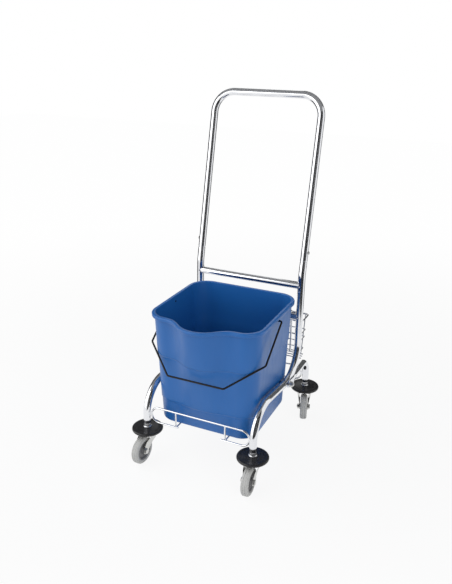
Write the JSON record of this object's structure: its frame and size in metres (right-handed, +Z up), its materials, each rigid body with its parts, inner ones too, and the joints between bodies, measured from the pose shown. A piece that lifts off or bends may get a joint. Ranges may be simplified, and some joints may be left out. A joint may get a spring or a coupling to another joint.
{
  "type": "mop bucket trolley",
  "caption": "Chromed tubular trolley on swivel casters with rubber bumpers, a push handle, a wire tray, a lift-out bucket with a bail, and a hook-on wire basket.",
  "frame": {"origin": "bottom centre of the whole trolley, on the floor", "axes": "+X to the right-hand side, +Y to the rear where the handle is, +Z up"},
  "size_m": [0.394, 0.5118, 0.9488],
  "materials": {
    "chromed_tube": "bright chrome plate",
    "chromed_wire": "bright chrome plate",
    "basket_wire": "bright chrome plate",
    "zinc_hardware": "zinc plated",
    "zinc_sheet": "zinc plated pressed sheet",
    "bumper_rubber": "glossy moulded black rubber",
    "grey_tyre": "light grey moulded tread",
    "grey_hub": "grey moulded plastic",
    "blue_plastic": "injection moulded, semi-gloss blue",
    "black_wire": "black coated steel wire"
  },
  "bodies": {
    "frame": {"side_tube_left": "chromed_tube", "side_tube_right": "chromed_tube", "crossbar_upper": "chromed_tube", "crossbar_lower": "chromed_tube", "rear_leg_left": "chromed_tube", "rear_leg_right": "chromed_tube", "leg_bolts": "zinc_hardware", "leg_nuts": "zinc_hardware", "handle_tube": "chromed_tube", "handle_spigots": "chromed_tube", "handle_screws": "zinc_hardware", "bumper_front_left": "bumper_rubber", "caster_stem_front_left": "zinc_hardware", "bumper_front_right": "bumper_rubber", "caster_stem_front_right": "zinc_hardware", "bumper_rear_left": "bumper_rubber", "caster_stem_rear_left": "zinc_hardware", "bumper_rear_right": "bumper_rubber", "caster_stem_rear_right": "zinc_hardware", "tray_front_loop": "chromed_wire", "tray_rear_loop": "chromed_wire", "tray_long_wire_left": "chromed_wire", "tray_long_wire_right": "chromed_wire"},
    "caster_front_left": {"caster_fork_front_left": "zinc_sheet", "axle_bolt_front_left": "zinc_hardware", "axle_nut_front_left": "zinc_hardware", "axle_bush_front_left": "zinc_hardware"},
    "wheel_front_left": {"wheel_tyre_front_left": "grey_tyre", "wheel_hub_front_left": "grey_hub"},
    "caster_front_right": {"caster_fork_front_right": "zinc_sheet", "axle_bolt_front_right": "zinc_hardware", "axle_nut_front_right": "zinc_hardware", "axle_bush_front_right": "zinc_hardware"},
    "wheel_front_right": {"wheel_tyre_front_right": "grey_tyre", "wheel_hub_front_right": "grey_hub"},
    "caster_rear_left": {"caster_fork_rear_left": "zinc_sheet", "axle_bolt_rear_left": "zinc_hardware", "axle_nut_rear_left": "zinc_hardware", "axle_bush_rear_left": "zinc_hardware"},
    "wheel_rear_left": {"wheel_tyre_rear_left": "grey_tyre", "wheel_hub_rear_left": "grey_hub"},
    "caster_rear_right": {"caster_fork_rear_right": "zinc_sheet", "axle_bolt_rear_right": "zinc_hardware", "axle_nut_rear_right": "zinc_hardware", "axle_bush_rear_right": "zinc_hardware"},
    "wheel_rear_right": {"wheel_tyre_rear_right": "grey_tyre", "wheel_hub_rear_right": "grey_hub"},
    "bucket": {"bucket": "blue_plastic"},
    "bail": {"bail": "black_wire"},
    "basket": {"basket_rim": "basket_wire", "basket_ring_1": "basket_wire", "basket_ring_2": "basket_wire", "basket_ring_3": "basket_wire", "basket_ribs": "basket_wire", "basket_floor_wires": "basket_wire", "basket_hooks": "basket_wire"}
  },
  "joints": [
    {"name": "swivel_front_left", "type": "hinge", "parent": "frame", "child": "caster_front_left", "pos_m": [-0.155, -0.18813, 0.0795], "axis": [0, 0, 1], "continuous": true},
    {"name": "spin_front_left", "type": "hinge", "parent": "caster_front_left", "child": "wheel_front_left", "pos_m": [-0.15709, -0.21806, 0.0375], "axis": [0.9976, -0.0698, 0], "continuous": true},
    {"name": "swivel_front_right", "type": "hinge", "parent": "frame", "child": "caster_front_right", "pos_m": [0.155, -0.18813, 0.0795], "axis": [0, 0, 1], "continuous": true},
    {"name": "spin_front_right", "type": "hinge", "parent": "caster_front_right", "child": "wheel_front_right", "pos_m": [0.15709, -0.21806, 0.0375], "axis": [0.9976, 0.0698, 0], "continuous": true},
    {"name": "swivel_rear_left", "type": "hinge", "parent": "frame", "child": "caster_rear_left", "pos_m": [-0.155, 0.21386, 0.0795], "axis": [0, 0, 1], "continuous": true},
    {"name": "spin_rear_left", "type": "hinge", "parent": "caster_rear_left", "child": "wheel_rear_left", "pos_m": [-0.14928, 0.18442, 0.0375], "axis": [0.9816, 0.1908, 0], "continuous": true},
    {"name": "swivel_rear_right", "type": "hinge", "parent": "frame", "child": "caster_rear_right", "pos_m": [0.155, 0.21386, 0.0795], "axis": [0, 0, 1], "continuous": true},
    {"name": "spin_rear_right", "type": "hinge", "parent": "caster_rear_right", "child": "wheel_rear_right", "pos_m": [0.16427, 0.18533, 0.0375], "axis": [0.9511, 0.309, 0], "continuous": true},
    {"name": "bucket_lift", "type": "slide", "parent": "frame", "child": "bucket", "axis": [0, 0, 1], "range_m": [0, 0.35]},
    {"name": "bail_swing", "type": "hinge", "parent": "bucket", "child": "bail", "pos_m": [0, -0.03252, 0.4051], "axis": [-1, 0, 0], "range_deg": [0, 195]},
    {"name": "basket_lift", "type": "slide", "parent": "frame", "child": "basket", "axis": [0, 0, 1], "range_m": [0, 0.025]}
  ]
}
